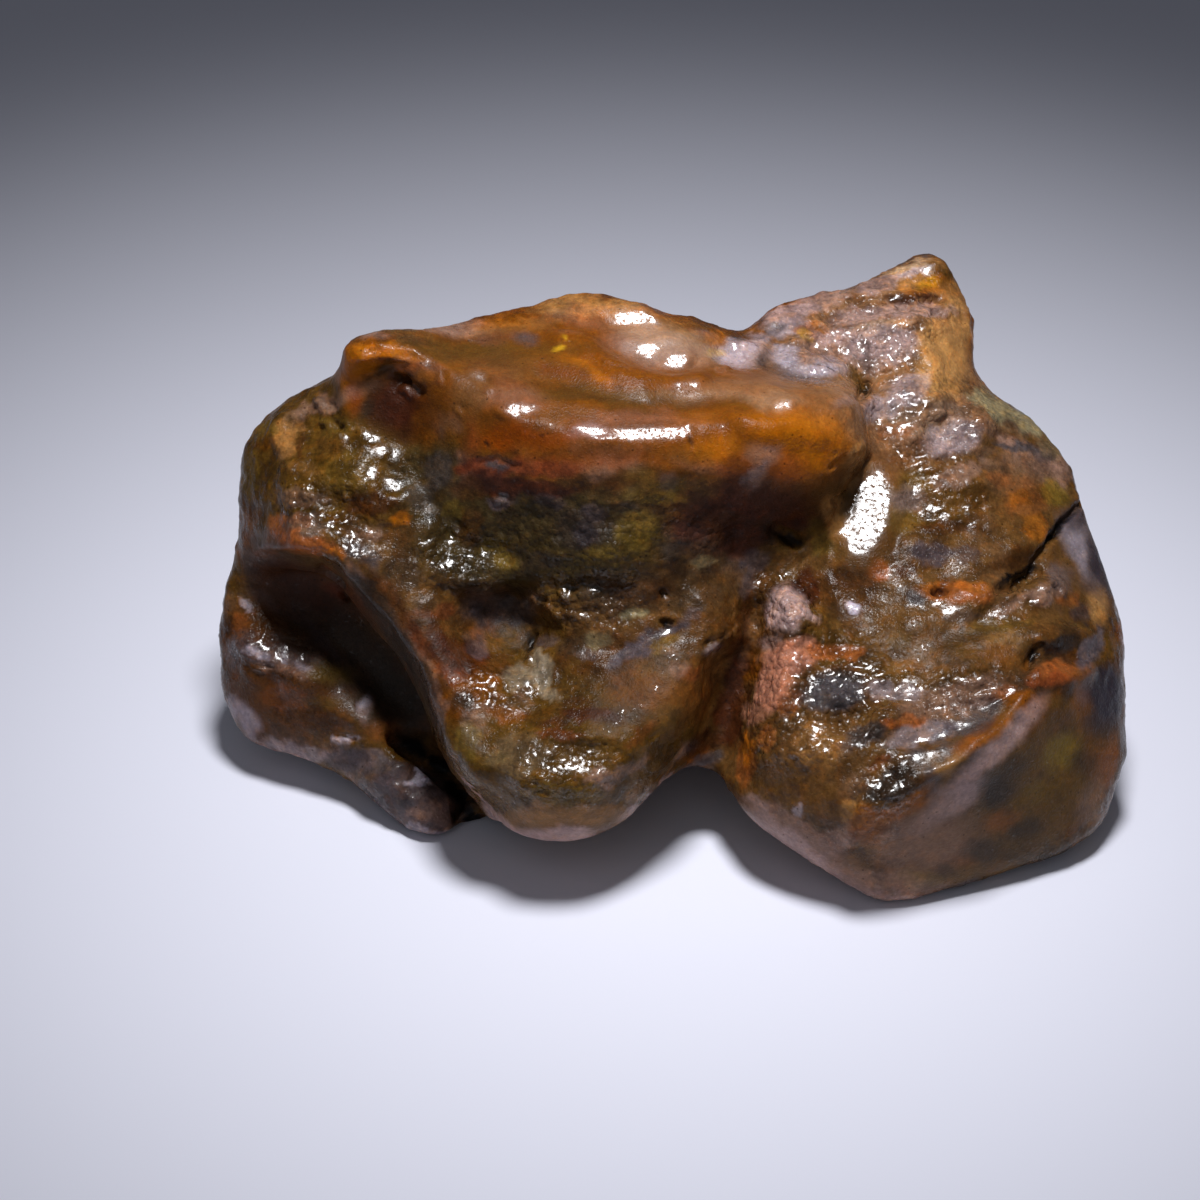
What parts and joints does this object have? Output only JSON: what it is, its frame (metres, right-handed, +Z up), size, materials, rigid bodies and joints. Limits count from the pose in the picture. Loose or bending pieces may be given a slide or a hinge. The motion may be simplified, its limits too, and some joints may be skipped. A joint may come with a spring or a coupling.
{
  "type": "raw gobi agate",
  "caption": "Irregular wind-polished lump of raw agate with a rounded brow, a jutting tongue, rough pitted slopes and waxy hollows; lies on its uneven base.",
  "frame": {"origin": "on the resting plane, under the middle of the bounding box", "axes": "+X along the stone's long side, to the right when its broad weathered face is looked at; the face looks towards -Y and up; +Z up from the surface it lies on"},
  "size_m": [0.0392, 0.0256, 0.0194],
  "materials": {
    "agate": "wind-polished chalcedony: waxy, oily gloss over mottled amber, rust, olive and smoky brown, with rough glittering patches"
  },
  "bodies": {
    "root": {"agate": "agate"}
  },
  "joints": []
}
